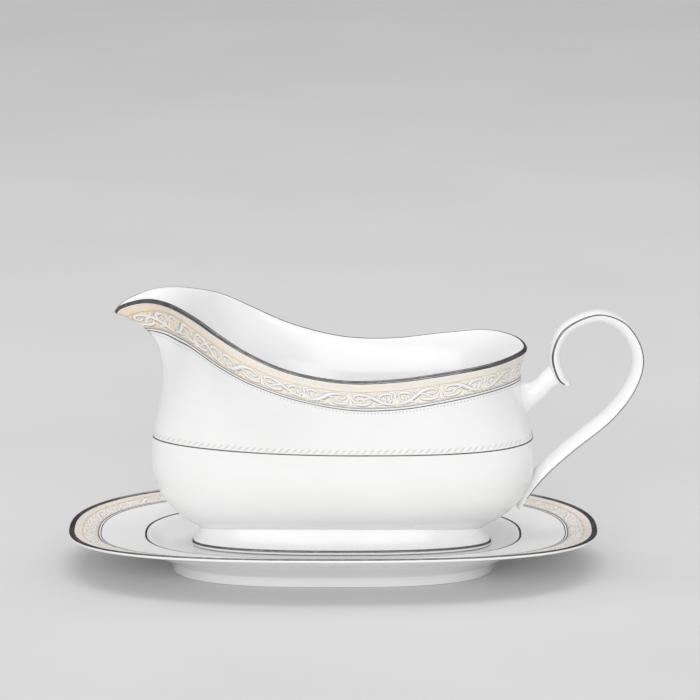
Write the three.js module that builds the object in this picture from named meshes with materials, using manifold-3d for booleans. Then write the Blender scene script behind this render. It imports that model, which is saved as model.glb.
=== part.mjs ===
// A bone-china sauce boat on its oval stand, in millimetres, +Z up, resting on z = 0.
// The spout points to -X, the handle to +X.
import * as THREE from 'three';
import { mergeVertices } from 'three/addons/utils/BufferGeometryUtils.js';
import Module from 'manifold-3d';

const wasm = await Module();
wasm.setup();

const COLUMNS = 56;            // columns round every oval
const GAP = 0.3;               // clearance between neighbouring pieces
const FILM = 0.4;              // modelled thickness of the fired-on decoration
const FLOAT = 0.5;             // how far the decoration stands off the china, so facets stay clear

// Where the two ovals stand.
const STAND_X = -9.8;
const BOAT_X = -6;

// ---------------------------------------------------------------- china dimensions
const STAND = {
  rim: { reach: 118.5, halfWidth: 73.9, power: 2.5, z: 17.1, saddle: 3.2 },
  verge: { reach: 84.2, halfWidth: 52, power: 2.5, z: 14.2, saddle: 1 },
  floor: { reach: 73, halfWidth: 43, power: 2.6, z: 9.2 },
  ring: { reach: 72.5, halfWidth: 44.4, power: 2.8, height: 4.8, width: 3.6 },
  edge: 1.8,
  underFlange: 3.6,
  underFloor: 5.2,
  rounding: 1.2,
  inset: 20,                   // how far the flat floor's middle face stops short of its edge
  well: 7.5,                   // how far the well's side bulges halfway up
};

// The rim of the bowl, from the spout's tip to the middle of the back: x, half width, height.
const RIM_STATIONS = [
  [-101.2, 0, 114.8],
  [-98.8, 3.2, 117.6],
  [-88.7, 9.4, 121.5],
  [-79.5, 17, 122],
  [-67, 31, 119.3],
  [-54.4, 45.4, 114],
  [-41.8, 51.4, 107.4],
  [-24, 51.8, 99.6],
  [0, 48.4, 94.1],
  [22, 45.6, 93.7],
  [46, 43.6, 96.4],
  [66, 37.6, 98.9],
  [78.5, 20.5, 99.8],
  [83.1, 0, 99.4],
];

// The wall leaves the rim towards a neck curve: the rim drawn in at both ends, narrowed and lowered.
const NECK = {
  front: { pull: 35, reach: 15, narrow: 1.05, drop: 9.5 },
  back: { pull: 9, reach: 40, narrow: 0.8, drop: 16 },
};

// Ovals that steer the wall: the widest point sits at `middle`, the ends at -front and +back.
const BOWL = {
  girdle: { middle: 18, front: 85.3, back: 86.6, halfWidth: 40.4, frontPower: 2.05, backPower: 2.4, z: 50 },
  flank: { z: 34 },
  keel: { middle: 6, front: 76.5, back: 77, halfWidth: 32, frontPower: 2.2, backPower: 2.4, z: 24.5 },
  seat: {
    front: 63.7, back: 63.7, halfWidth: 20.4, power: 2.4, z: 17.5, lift: 3.3,
  },
  shoulder: 0.32,              // how far the wall rises from the girdle before it turns to the rim
  edge: 2.4,                   // thickness at the rim, the girdle and the floor
  wall: 3.2,
  floor: 4.2,
  underside: { reach: 58, halfWidth: 15, z: 20.2, power: 2.4 },
};

const FOOT = {
  base: STAND.floor.z + GAP,
  toe: { front: 67.1, back: 67.1, halfWidth: 23.7, height: 1.5 },
  cove: { front: 65.4, back: 65.4, halfWidth: 21.6, height: 4.4 },
  power: 2.4,
  width: 4,
  rounding: 0.4,
  bandBase: 0.3,               // how far above the ground the platinum starts
};

// Depth below the bowl's rim, or inwards from the stand's rim, where each band starts and ends.
const BOAT_BANDS = {
  rim: [0.2, 2],
  frieze: [2.4, 6, 10, 14],
  hairlineUpper: [14.5, 15.1],
  hairlineLower: [15.8, 16.4],
  beading: [17.2, 18.2],
};
const STAND_BANDS = {
  rim: [0.3, 2.8],
  frieze: [3.2, 11.8],
  hairlineOuter: [12.3, 12.8],
  hairlineInner: [13.5, 14],
  well: 0.6,
};
const DECORATED_DEPTH = 18.6;
const WAIST = { line: [58.8, 59.4], rope: [60.2, 62.4] };

// ---------------------------------------------------------------- handle dimensions
// The strap's outer edge, in the boat's own x and z, from the scroll's tip to the tail.
const STRAP_PATH = [
  [101.7, 82.2], [97.9, 84.6], [94.7, 92], [94.5, 98], [98.3, 106.9], [106.4, 112.7],
  [115.6, 115], [126.2, 111.1], [132.9, 101.7], [134.5, 92.4], [130.9, 80.8], [121.4, 67.8],
  [103.9, 53.1], [94, 44.2], [87.2, 36.6], [82, 29], [79.9, 25.4],
];
const STRAP = {
  halfWidth: 5.5, thickness: 5.6, narrowest: 0.35,
  tipTaper: 0.09, tailTaper: 0.12,
  dome: { scroll: 2.2, tail: 0.4, from: 0.12, to: 0.4 },
  rings: 44, sides: 12,
};
const EDGE_LINE = { from: 0.05, to: 0.93, height: 0.6, points: 30 };
const STEM_PATH = [[77, 77], [84, 78.2], [90, 81.6], [95.2, 87.4]];
const STEM = { halfWidth: 4.3, rootHeight: 6.6, height: 5, rings: 8, sides: 16 };

const material = (color, roughness, metalness) => () =>
  new THREE.MeshStandardMaterial({ color, roughness, metalness });
const china = material(0xf7f6f3, 0.15, 0);
const platinum = material(0x9a9a9c, 0.25, 1);
const enamel = material(0xe9d8bd, 0.4, 0);

// ---------------------------------------------------------------- general helpers
const mix = (a, b, t) => a + (b - a) * t;
const clampedRise = (t, over) => Math.sqrt(Math.min(t / over, 1));
const NOT_QUITE_ZERO = 0.004;   // keeps the strap's tip from closing to a point
const TAIL_OPEN = 0.02;         // leaves its tail a little thicker

// Points spaced evenly round a closed loop, starting from its first point.
function evenly(points) {
  const loop = new THREE.CatmullRomCurve3(points, true);
  loop.arcLengthDivisions = 1500;
  return loop.getSpacedPoints(COLUMNS).slice(0, COLUMNS);
}

// A horizontal oval from its front tip round the near side; `outset` grows it evenly.
function oval(shape, x, z, outset = 0) {
  const { middle = 0, front = shape.reach, back = shape.reach, halfWidth, lift = 0 } = shape;
  const { frontPower = shape.power, backPower = shape.power } = shape;
  const steps = 160;
  const points = [];
  for (let k = 0; k < steps; k += 1) {
    const angle = (2 * Math.PI * k) / steps;
    const along = -Math.cos(angle);
    const power = 2 / (along < 0 ? frontPower : backPower);
    const reach = (along < 0 ? front + middle : back - middle) + outset;
    const side = Math.sign(Math.sin(angle)) * Math.abs(Math.sin(angle)) ** power;
    points.push(new THREE.Vector3(
      x + middle + reach * Math.sign(along) * Math.abs(along) ** power,
      -(halfWidth + outset) * side,
      z + lift * side * side,
    ));
  }
  return evenly(points);
}

// A closed body skinned over rings; a loop joins its last ring to its first, others are capped.
// Its two halves are cut into triangles as mirror images.
function loft(rings, isLoop = false) {
  const count = rings[0].length;
  const positions = rings.flatMap((ring) => ring.flatMap((p) => [p.x, p.y, p.z]));
  const triangles = [];
  for (let r = 0; r < rings.length - (isLoop ? 0 : 1); r += 1) {
    const next = (r + 1) % rings.length;
    for (let i = 0; i < count; i += 1) {
      const j = (i + 1) % count;
      const [a, b, c, d] = [r * count + i, r * count + j, next * count + j, next * count + i];
      triangles.push(...(i < count / 2 ? [a, b, d, b, c, d] : [a, b, c, a, c, d]));
    }
  }
  if (!isLoop) {
    [0, rings.length - 1].forEach((r) => {
      const centre = rings[r].reduce((sum, p) => sum.add(p), new THREE.Vector3());
      centre.divideScalar(count);
      const hub = positions.push(centre.x, centre.y, centre.z) / 3 - 1;
      for (let i = 0; i < count; i += 1) {
        const [a, b] = [r * count + i, r * count + ((i + 1) % count)];
        triangles.push(...(r === 0 ? [hub, b, a] : [hub, a, b]));
      }
    });
  }
  const geometry = new THREE.BufferGeometry();
  geometry.setAttribute('position', new THREE.Float32BufferAttribute(positions, 3));
  geometry.setIndex(signedVolume(positions, triangles) < 0 ? triangles.reverse() : triangles);
  return geometry;
}

function signedVolume(positions, triangles) {
  const point = (i) => new THREE.Vector3().fromArray(positions, 3 * triangles[i]);
  let volume = 0;
  for (let i = 0; i < triangles.length; i += 3) {
    volume += point(i).dot(point(i + 1).cross(point(i + 2))) / 6;
  }
  return volume;
}

function toManifold(geometry) {
  const bare = new THREE.BufferGeometry();
  bare.setAttribute('position', geometry.getAttribute('position').clone());
  bare.setIndex(geometry.index.clone());
  const merged = mergeVertices(bare, 1e-4);
  return new wasm.Manifold(new wasm.Mesh({
    numProp: 3,
    vertProperties: Float32Array.from(merged.getAttribute('position').array),
    triVerts: Uint32Array.from(merged.index.array),
  }));
}

// What is left of a body once the cutters are taken away: its largest piece.
function carve(geometry, ...cutters) {
  const rest = cutters.reduce((body, cutter) => body.subtract(toManifold(cutter)), toManifold(geometry));
  const [largest] = rest.decompose().sort((a, b) => b.volume() - a.volume());
  const { vertProperties, triVerts } = largest.getMesh();
  const result = new THREE.BufferGeometry();
  result.setAttribute('position', new THREE.Float32BufferAttribute(Array.from(vertProperties), 3));
  result.setIndex(Array.from(triVerts));
  return result;
}

// ---------------------------------------------------------------- surfaces made of columns
// A ring of points across the columns, moved off the surface by `outset`.
function ringAcross(spots, outset) {
  return spots.map(({ point, along }, i) => {
    const next = spots[(i + 1) % COLUMNS].point;
    const previous = spots[(i + COLUMNS - 1) % COLUMNS].point;
    const normal = along.clone().cross(next.clone().sub(previous)).normalize();
    return point.clone().addScaledVector(normal, outset);
  });
}

// A band of film floating a gap above a surface, between the first and last of its rows.
function film(rows) {
  const outer = rows.map((spots) => ringAcross(spots, FLOAT + FILM));
  const inner = rows.map((spots) => ringAcross(spots, FLOAT)).reverse();
  return loft([...outer, ...inner], true);
}

const spotOn = (curve, t) => ({ point: curve.getPoint(t), along: curve.getTangent(t) });

// Where along a falling curve it passes a height, and where it is a given length below its start.
function heightToT(curve, z) {
  let [low, high] = [0, 1];
  for (let step = 0; step < 30; step += 1) {
    const t = (low + high) / 2;
    if (curve.getPoint(t).z > z) low = t;
    else high = t;
  }
  return low;
}
const depthToT = (curve, depth) => curve.getUtoTmapping(depth / curve.getLength());

// ---------------------------------------------------------------- the bowl's wall
function neckPoint(top, start, end) {
  const { front, back } = NECK;
  const share = (top.x - start) / (end - start);
  const pullIn = ({ pull, reach }, distance) => pull * Math.exp(-((distance / reach) ** 2));
  return new THREE.Vector3(
    top.x + pullIn(front, top.x - start) - pullIn(back, end - top.x),
    top.y * mix(front.narrow, back.narrow, share),
    top.z - mix(front.drop, back.drop, share),
  );
}

function bowlWall() {
  const stations = RIM_STATIONS.map(([x, y, z]) => new THREE.Vector3(BOAT_X + x, -y, z));
  const mirrored = stations.slice(1, -1).reverse().map((p) => new THREE.Vector3(p.x, -p.y, p.z));
  const rim = evenly([...stations, ...mirrored]);
  const [start, end] = [rim[0].x, rim[COLUMNS / 2].x];
  const girdle = oval(BOWL.girdle, BOAT_X, BOWL.girdle.z);
  const keel = oval(BOWL.keel, BOAT_X, BOWL.keel.z);
  const seat = oval(BOWL.seat, BOAT_X, BOWL.seat.z);
  return rim.map((top, i) => {
    const neck = neckPoint(top, start, end);
    const shoulder = girdle[i].clone().setZ(mix(girdle[i].z, top.z, BOWL.shoulder));
    const flank = girdle[i].clone().setZ(BOWL.flank.z);
    return {
      upper: new THREE.CubicBezierCurve3(top, neck, shoulder, girdle[i]),
      lower: new THREE.CubicBezierCurve3(girdle[i], flank, keel[i], seat[i]),
    };
  });
}

const wall = bowlWall();
const onUpper = (place) => wall.map(({ upper }) => spotOn(upper, place(upper)));
const onLower = (t) => wall.map(({ lower }) => spotOn(lower, t));
const belowRim = (depth) => onUpper((curve) => depthToT(curve, depth));
const atWallHeight = (z) => onUpper((curve) => heightToT(curve, z));

// Rows down the outside of the bowl; every band's edges lie on a row or between two close ones.
function bowlRows() {
  const depths = [0, ...BOAT_BANDS.rim.slice(1), 6, 10, 14.2, DECORATED_DEPTH];
  const [waistTop, waistBottom] = [WAIST.rope[1], WAIST.line[0]];
  const blend = (share) => (curve) => (
    mix(depthToT(curve, DECORATED_DEPTH), heightToT(curve, waistTop), share)
  );
  return [
    ...depths.map(belowRim),
    ...[0.25, 0.5, 0.75].map((share) => onUpper(blend(share))),
    ...[waistTop, waistBottom].map(atWallHeight),
    ...[0, 0.2, 0.4, 0.6, 0.8, 1].map(onLower),
  ];
}

function bowlBody() {
  const rows = bowlRows();
  const outer = rows.map((spots) => ringAcross(spots, 0));
  const inner = rows.map((spots, r) => {
    const depth = r / (rows.length - 1);
    const thickness = depth < 0.5
      ? mix(BOWL.edge, BOWL.wall, 2 * depth)
      : mix(BOWL.wall, BOWL.floor, 2 * depth - 1);
    return ringAcross(spots, -thickness);
  });
  const underside = oval(BOWL.underside, BOAT_X, BOWL.underside.z);
  return loft([...inner.reverse(), ...outer, underside]);
}

// The bowl without its hollow, grown by `outset`, for cutting the handle to fit.
const bowlHull = (outset) => loft(bowlRows().map((spots) => ringAcross(spots, outset)));

// ---------------------------------------------------------------- the boat's foot
const footRing = (shape, z, outset = 0) => oval({ ...shape, power: FOOT.power }, BOAT_X, z, outset);

function bowlFoot() {
  const { front, halfWidth, lift, z } = BOWL.seat;
  const inset = { front: front - FOOT.width, back: front - FOOT.width, halfWidth: halfWidth - FOOT.width };
  const toe = FOOT.base + FOOT.toe.height;
  return loft([
    footRing({ front, back: front, halfWidth, lift }, z - GAP),
    footRing(FOOT.cove, FOOT.base + FOOT.cove.height),
    footRing(FOOT.toe, toe),
    footRing(FOOT.toe, FOOT.base, -FOOT.rounding),
    footRing(FOOT.toe, FOOT.base, -FOOT.width),
    footRing({ ...inset, lift }, z - 1),
  ], true);
}

function footBand() {
  const [low, high] = [FOOT.base + FOOT.bandBase, FOOT.base + FOOT.toe.height];
  const levels = [[low, GAP + FILM], [high, GAP + FILM], [high, GAP], [low, GAP]];
  return loft(levels.map(([z, outset]) => footRing(FOOT.toe, z, outset)), true);
}

// ---------------------------------------------------------------- the handle
// Rings of a section swept along a path in the boat's middle plane.
function sweep(path, count, section) {
  const curve = new THREE.CatmullRomCurve3(path.map(([x, z]) => new THREE.Vector3(BOAT_X + x, 0, z)));
  const rings = [];
  for (let k = 0; k <= count; k += 1) {
    const t = k / count;
    const point = curve.getPointAt(t);
    const tangent = curve.getTangentAt(t);
    const out = new THREE.Vector3(-tangent.z, 0, tangent.x);
    rings.push(section(t).map(([y, n]) => point.clone().addScaledVector(out, n).setY(y)));
  }
  return rings;
}

// The strap's size along its length: it thins to both tips, and its face domes near the scroll.
function strapSize(t) {
  const tip = clampedRise(t + NOT_QUITE_ZERO, STRAP.tipTaper);
  const tail = clampedRise(1 + TAIL_OPEN - t, STRAP.tailTaper);
  const taper = Math.min(tip, tail);
  const { scroll, tail: flat, from, to } = STRAP.dome;
  return {
    half: STRAP.halfWidth * mix(STRAP.narrowest, 1, taper),
    thick: STRAP.thickness * taper,
    dome: mix(scroll, flat, THREE.MathUtils.smoothstep(t, from, to)) * taper,
  };
}

function strapSection(t, outset = 0) {
  const { half, thick, dome } = strapSize(t);
  const points = [];
  for (let k = 0; k < STRAP.sides; k += 1) {
    const angle = (2 * Math.PI * k) / STRAP.sides;
    const rise = Math.sin(angle) > 0 ? dome : thick - dome;
    points.push([(half + outset) * Math.cos(angle), (rise + outset) * Math.sin(angle)]);
  }
  return points;
}

// The platinum along one edge of the strap, a little short of both its tips.
function edgeLine(side) {
  const onStrap = (t) => mix(EDGE_LINE.from, EDGE_LINE.to, t);
  const reach = EDGE_LINE.height / 2;
  const section = (t) => {
    const near = side * (strapSize(onStrap(t)).half + GAP);
    const far = near + side * FILM;
    return [[near, -reach], [far, -reach], [far, reach], [near, reach]];
  };
  const curve = new THREE.CatmullRomCurve3(STRAP_PATH.map(([x, z]) => new THREE.Vector3(x, 0, z)));
  const path = [];
  for (let k = 0; k <= EDGE_LINE.points; k += 1) {
    const point = curve.getPointAt(onStrap(k / EDGE_LINE.points));
    path.push([point.x, point.z]);
  }
  return loft(sweep(path, STRAP.rings - 4, section));
}

function stemSection(t, outset = 0) {
  const height = mix(STEM.rootHeight, STEM.height, clampedRise(t, 0.5)) + outset;
  const width = STEM.halfWidth + outset;
  const points = [];
  for (let k = 0; k < STEM.sides; k += 1) {
    const angle = (2 * Math.PI * k) / STEM.sides;
    points.push([width * Math.cos(angle), height * Math.sin(angle)]);
  }
  return points;
}

const strapBody = (outset) => loft(sweep(STRAP_PATH, STRAP.rings, (t) => strapSection(t, outset)));
const stemBody = (outset) => loft(sweep(STEM_PATH, STEM.rings, (t) => stemSection(t, outset)));

// ---------------------------------------------------------------- the stand
const standRing = (shape, z, outset = 0) => oval({ ...shape, lift: shape.saddle }, STAND_X, z, outset);

function flangeColumns() {
  const { rim, verge } = STAND;
  const outer = standRing(rim, rim.z);
  return standRing(verge, verge.z).map((start, i) => new THREE.LineCurve3(start, outer[i]));
}

const flange = flangeColumns();
const fromEdge = (depth) => flange.map((line) => spotOn(line, 1 - depth / line.getLength()));

function standDish() {
  const { rim, verge, floor, ring, edge, rounding, underFlange, underFloor, inset, well } = STAND;
  return loft([
    standRing(floor, floor.z, -inset),
    standRing(floor, floor.z),
    standRing(floor, (floor.z + verge.z) / 2, well),
    standRing(verge, verge.z),
    standRing(rim, rim.z),
    standRing(rim, rim.z - edge / 2, rounding / 2),
    standRing(rim, rim.z - edge),
    standRing(verge, verge.z - underFlange),
    standRing(ring, ring.height, rounding / 2),
    standRing(ring, rounding / 2),
    standRing(ring, 0, -rounding / 2),
    standRing(ring, 0, -ring.width),
    standRing(ring, underFloor - 1, -ring.width - rounding),
    standRing(ring, underFloor, -2 * ring.width),
  ]);
}

function wellLine() {
  const { verge } = STAND;
  const width = STAND_BANDS.well;
  const rows = [[width, GAP], [width, GAP + FILM], [0, GAP + FILM], [0, GAP]];
  return loft(rows.map(([outset, lift]) => standRing(verge, verge.z + lift, outset)), true);
}

// ---------------------------------------------------------------- assembly
const strapHull = strapBody(GAP);
const stemHull = carve(stemBody(GAP), bowlHull(0));
const bandBelowRim = (depths) => film(depths.map(belowRim));
const bandAtHeights = (heights) => film([...heights].reverse().map(atWallHeight));
const bandFromEdge = (depths) => film([...depths].reverse().map(fromEdge));

const pieces = [
  ['boat_bowl', bowlBody(), china],
  ['boat_foot', bowlFoot(), china],
  ['handle_strap', carve(strapBody(0), bowlHull(GAP)), china],
  ['handle_stem', carve(stemBody(0), bowlHull(GAP), strapHull), china],
  ['boat_rim_platinum', bandBelowRim(BOAT_BANDS.rim), platinum],
  ['boat_frieze', bandBelowRim(BOAT_BANDS.frieze), enamel],
  ['boat_hairline_upper', carve(bandBelowRim(BOAT_BANDS.hairlineUpper), stemHull), platinum],
  ['boat_hairline_lower', carve(bandBelowRim(BOAT_BANDS.hairlineLower), stemHull), platinum],
  ['boat_beading', carve(bandBelowRim(BOAT_BANDS.beading), stemHull), enamel],
  ['boat_rope_border', bandAtHeights(WAIST.rope), enamel],
  ['boat_waist_line', bandAtHeights(WAIST.line), platinum],
  ['boat_foot_platinum', footBand(), platinum],
  ['handle_line_near', edgeLine(-1), platinum],
  ['handle_line_far', edgeLine(1), platinum],
  ['stand_dish', standDish(), china],
  ['stand_rim_platinum', bandFromEdge(STAND_BANDS.rim), platinum],
  ['stand_frieze', bandFromEdge(STAND_BANDS.frieze), enamel],
  ['stand_hairline_outer', bandFromEdge(STAND_BANDS.hairlineOuter), platinum],
  ['stand_hairline_inner', bandFromEdge(STAND_BANDS.hairlineInner), platinum],
  ['stand_well_line', wellLine(), platinum],
];

const sauceBoat = new THREE.Group();
sauceBoat.name = 'sauce_boat';
pieces.forEach(([name, geometry, finish]) => {
  geometry.computeVertexNormals();
  const mesh = new THREE.Mesh(geometry, finish());
  mesh.name = name;
  sauceBoat.add(mesh);
});

export default sauceBoat;
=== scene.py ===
"""Looks of a bone-china sauce boat on its oval stand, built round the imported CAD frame.

Shapes are worked out in millimetres in the object's frame and turned into metres as they become meshes.
The boat points its spout along -X. An oval is a dictionary of half lengths, see `oval`.
"""
import math

import bmesh
import bpy
import numpy as np
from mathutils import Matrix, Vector


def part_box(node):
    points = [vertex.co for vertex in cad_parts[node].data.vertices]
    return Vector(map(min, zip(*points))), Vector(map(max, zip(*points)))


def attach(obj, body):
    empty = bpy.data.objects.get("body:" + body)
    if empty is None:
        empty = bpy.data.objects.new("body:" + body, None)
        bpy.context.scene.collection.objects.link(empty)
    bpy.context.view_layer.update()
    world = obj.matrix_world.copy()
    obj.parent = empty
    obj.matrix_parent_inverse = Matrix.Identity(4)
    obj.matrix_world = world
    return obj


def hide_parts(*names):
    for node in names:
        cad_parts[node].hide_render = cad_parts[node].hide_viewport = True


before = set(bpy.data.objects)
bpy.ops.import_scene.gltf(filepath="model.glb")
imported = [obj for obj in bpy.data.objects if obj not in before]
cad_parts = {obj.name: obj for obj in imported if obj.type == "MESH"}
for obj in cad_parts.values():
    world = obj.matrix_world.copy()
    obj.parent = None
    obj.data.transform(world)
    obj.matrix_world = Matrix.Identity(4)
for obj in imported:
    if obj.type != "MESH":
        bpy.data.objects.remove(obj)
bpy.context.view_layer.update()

MM = 0.001
OVAL_POINTS = 960              # points of an oval before they are spaced evenly
COLUMNS = 320                  # columns round every oval
FILM = 0.05                    # how proud the fired-on decoration stands of the glaze
STEP = 0.25                    # spacing of the rows that carry decoration


def middle_x(node):
    """The middle of a node's box in x, in millimetres."""
    low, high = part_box(node)
    return (low.x + high.x) / 2 / MM


STAND_X = middle_x("stand_dish")
BOAT_X = middle_x("boat_foot")
FOOT_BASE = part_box("boat_foot")[0].z / MM

# ------------------------------------------------------------------ dimensions of the bowl
# The rim, from the spout's tip to the middle of the back: x, half width, height.
RIM_STATIONS = [
    (-101.2, 0, 114.8), (-98.8, 3.2, 117.6), (-88.7, 9.4, 121.5), (-79.5, 17, 122), (-67, 31, 119.3),
    (-54.4, 45.4, 114), (-41.8, 51.4, 107.4), (-24, 51.8, 99.6), (0, 48.4, 94.1), (22, 45.6, 93.7),
    (46, 43.6, 96.4), (66, 37.6, 98.9), (78.5, 20.5, 99.8), (83.1, 0, 99.4),
]
# How the wall leaves the rim: drawn in over a reach at both ends, its width scaled, and lowered.
NECK_FRONT = {"pull": 35, "reach": 26, "width": 1.05, "drop": 9.5}
NECK_BACK = {"pull": 9, "reach": 40, "width": 0.8, "drop": 16}
SHOULDER = 0.32                # height of the shoulder between the girdle and the rim
GIRDLE = {"middle": 18, "front": 85.3, "back": 86.6, "half": 40.4, "powers": (2.05, 2.4)}
GIRDLE_Z, FLANK_Z, KEEL_Z, SEAT_Z = 50, 34, 24.5, 17.5
KEEL = {"middle": 6, "front": 76.5, "back": 77, "half": 32, "powers": (2.2, 2.4)}
SEAT = {"front": 63.7, "back": 63.7, "half": 20.4, "powers": (2.4, 2.4), "lift": 3.3}
UNDERSIDE = [(0.6, -1.5), (1, -14)]          # rings inside the foot: rise above the seat, outset
INNER_KEEL = {"middle": 4, "front": 66, "back": 66, "half": 25, "powers": (2.2, 2.4)}
INNER_SPINE = {"front": 24, "back": 24, "half": 3, "powers": (2, 2)}
FLOOR_Z, FLOOR_RISE = 22, 0.6
LIP, WALL = 2.2, 3.3           # thickness of the china at the lip and at the girdle
THICKENING = 3                 # the wall has its full thickness a third of the way down
UPPER_ROWS, WALL_ROWS, LOWER_ROWS = 97, 61, 33

# ------------------------------------------------------------------ dimensions of the boat's foot
TOE = {"front": 67.1, "back": 67.1, "half": 23.7, "powers": (2.4, 2.4)}
FOOT_WIDTH = 4
FOOT_SEAT = {"rise": 0.4, "outset": -0.1}    # where the foot meets the bowl
FOOT_WAIST = {"drop": 3.2, "outset": 0.5, "lift": 1.2}
FOOT_SKIRT = {"height": 3.4, "outset": -1}
FOOT_INSIDE_LIFT = 2
COVE_ROWS, FOOT_LINE_ROWS = 19, 4
FOOT_LINE = (1.1, 2.1)         # the platinum line, above the foot's base
# Rings from the toe under the foot: height above its base, outset.
FOOT_TREAD = [(1.1, 0), (0.5, 0), (0.12, -0.3), (0, -0.7), (0, 0.7 - FOOT_WIDTH), (0.2, 0.2 - FOOT_WIDTH),
              (0.8, -FOOT_WIDTH)]

# ------------------------------------------------------------------ dimensions of the stand
STAND_RIM = {"front": 118.5, "back": 118.5, "half": 73.9, "powers": (2.5, 2.5), "lift": 3.2}
STAND_VERGE = {"front": 84.2, "back": 84.2, "half": 52, "powers": (2.5, 2.5), "lift": 1}
STAND_FLOOR = {"front": 73, "back": 73, "half": 43, "powers": (2.6, 2.6)}
STAND_RING = {"front": 72.5, "back": 72.5, "half": 44.4, "powers": (2.8, 2.8)}
RIM_Z, VERGE_Z, WELL_Z = 17.1, 14.2, 9.2
STAND_EDGE = 1.8               # thickness of the rounded edge
FLANGE_SAG = 0.7
WELL_EASE, WELL_SPREAD = 3.5, 5              # how the well leaves the verge and meets the floor
UNDER_VERGE = {"drop": 3.2, "outset": 4, "inset": 1.2}
RING_TOP = {"height": 4.8, "outset": 0.6}
WALL_BEND = 0.15               # how soon the wall under the flange turns to the foot ring
FLOOR_INSETS = (-12, -24, -36)
# Rings round the foot ring and under the floor: height, outset.
STAND_TREAD = [(4.2, 0), (0.6, 0), (0.15, -0.3), (0, -0.8), (0, -2.9), (0.2, -3.4), (0.7, -3.6),
               (4.4, -4.2), (5.2, -6.5), (5.2, -35)]
STAND_EDGE_ANGLES = range(90, -91, -20)      # the rings of the rounded edge, in degrees
FLANGE_ROWS, WELL_ROWS, SKIRT_ROWS = 41, 17, 11

# ------------------------------------------------------------------ dimensions of the handle
# In the boat's own x and z: the strap's outer edge from scroll to tail.
STRAP_PATH = [
    (101.7, 82.2), (97.9, 84.6), (94.7, 92), (94.5, 98), (98.3, 106.9), (106.4, 112.7),
    (115.6, 115), (126.2, 111.1), (132.9, 101.7), (134.5, 92.4), (130.9, 80.8), (121.4, 67.8),
    (103.9, 53.1), (94, 44.2), (87.2, 36.6), (82, 29), (79.9, 25.4),
]
STRAP_RINGS, SECTION_POINTS = 220, 40
STRAP = {
    "half": 5.5, "thick": 5.6, "least_width": 0.35,
    "domes": (2.2, 0.4), "flattens": (0.12, 0.4),      # the outside's dome, and where it changes
    "scroll_tip": (0.003, 0.04), "tail_tip": (0.012, 0.12),      # start and length of the thinning tips
}
EDGE_ANGLES = [-0.06, 0.04, 0.13, 0.22, 0.31]          # the platinum line's place on the strap's section
LINE_RINGS = slice(3, 212)
# The stem's core starts 1.6 inside the bowl's wall. Its half sizes are spaced evenly along it.
STEM_PATH = [
    (79.3, 77.2), (81, 77.3), (83.2, 77.8), (85.8, 78.9), (88.8, 81), (92.2, 84.6), (96.6, 87.6),
]
STEM_HEIGHTS = [6.8, 5.9, 5.1, 4.5, 4.2, 4.5, 5.6]
STEM_WIDTHS = [6, 5.2, 4.6, 4.2, 3.9, 3.7, 3.4]
STEM_RINGS, ROOT_RINGS = 60, 24
STEM_FLARE = {"size": 4.8, "run": 0.08}      # the fillet at the bowl, and its share of the length

# ------------------------------------------------------------------ dimensions of the decoration
RIM_METAL = (0.05 * math.pi, 0.75 * math.pi)           # the part of the lip's rounding under platinum
# Friezes, as depths below the edge of the wall or flange that carries them.
BOAT_FRIEZE = {
    "ground": (1.15, 12.7), "reeds": (1.5, 4.5), "divider": 4.9, "scroll": (5.3, 12.4), "pitch": 21,
    "hairlines": {"upper": (13, 13.3), "lower": (14.1, 14.55)},
}
STAND_FRIEZE = {
    "ground": (2.8, 13), "reeds": (3.2, 5.6), "divider": 6, "scroll": (6.3, 12.6), "pitch": 16,
    "hairlines": {"outer": (13.2, 13.6), "inner": (14.3, 14.7)},
}
BOAT_STRIP, STAND_STRIP = 18, 17             # how far down the decorated strips are laid out
TAN_LINE = {"width": 0.2, "points": 600, "base": 0.1, "crown": 0.12}
REED = {"count": 6, "run": 19, "points": 15, "overlap": 1.05, "bow": 1.3, "width": 0.24, "tip": 0.05}
BEADS = {"depth": 15.7, "radius": 0.27, "height": 0.14, "pitch": 1.6}
WAIST_LINE = (58.8, 59.35)
ROPE_STRIP = (57.5, 64)
ROPE = {
    "low": 59.9, "high": 61.8, "pitch": 3.1, "points": 9, "width": 0.42, "blunt": 0.12,
    "start": 0.1, "length": 0.95, "wave": 0.06, "crown": 0.12, "base": 0.05,
}
STAND_METAL = (2.6, 1.9, 1.2)                # rows of the rim's platinum in from the edge
STAND_METAL_ANGLES = range(90, 24, -13)      # and its rings on the rounded edge, in degrees
WELL_LINE_START = 0.7          # where the well's line starts between the flange's last two rows
SPOUT_SHADE_FADE = (-0.085, -0.02)  # where the boat's ground fades from the painted shade and warmer tan at the spout, in metres of x

# One scroll motif, in shares of its width and height: ribbons as points with widths, then single leaves.
# Every second motif is its mirror image, so that they meet in pairs.
RIBBONS = [
    ([(-0.48, 0.08), (-0.27, 0.19), (-0.08, 0.48), (0.1, 0.78), (0.29, 0.86), (0.41, 0.69), (0.34, 0.5),
      (0.25, 0.58)], (0.1, 0.3, 0.36, 0.32, 0.24, 0.2, 0.18, 0.2)),
    ([(0.02, 0.44), (0.1, 0.24), (0.26, 0.14), (0.41, 0.2), (0.42, 0.34)], (0.1, 0.24, 0.26, 0.2, 0.12)),
    ([(-0.13, 0.5), (-0.19, 0.76), (-0.32, 0.87), (-0.43, 0.74), (-0.4, 0.58)],
     (0.1, 0.24, 0.26, 0.2, 0.14)),
    ([(0.5, 0.03), (0.49, 0.3), (0.5, 0.58)], (0.1, 0.24, 0.08)),
    ([(-0.5, 0.97), (-0.49, 0.7), (-0.5, 0.44)], (0.1, 0.24, 0.08)),
]
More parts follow.
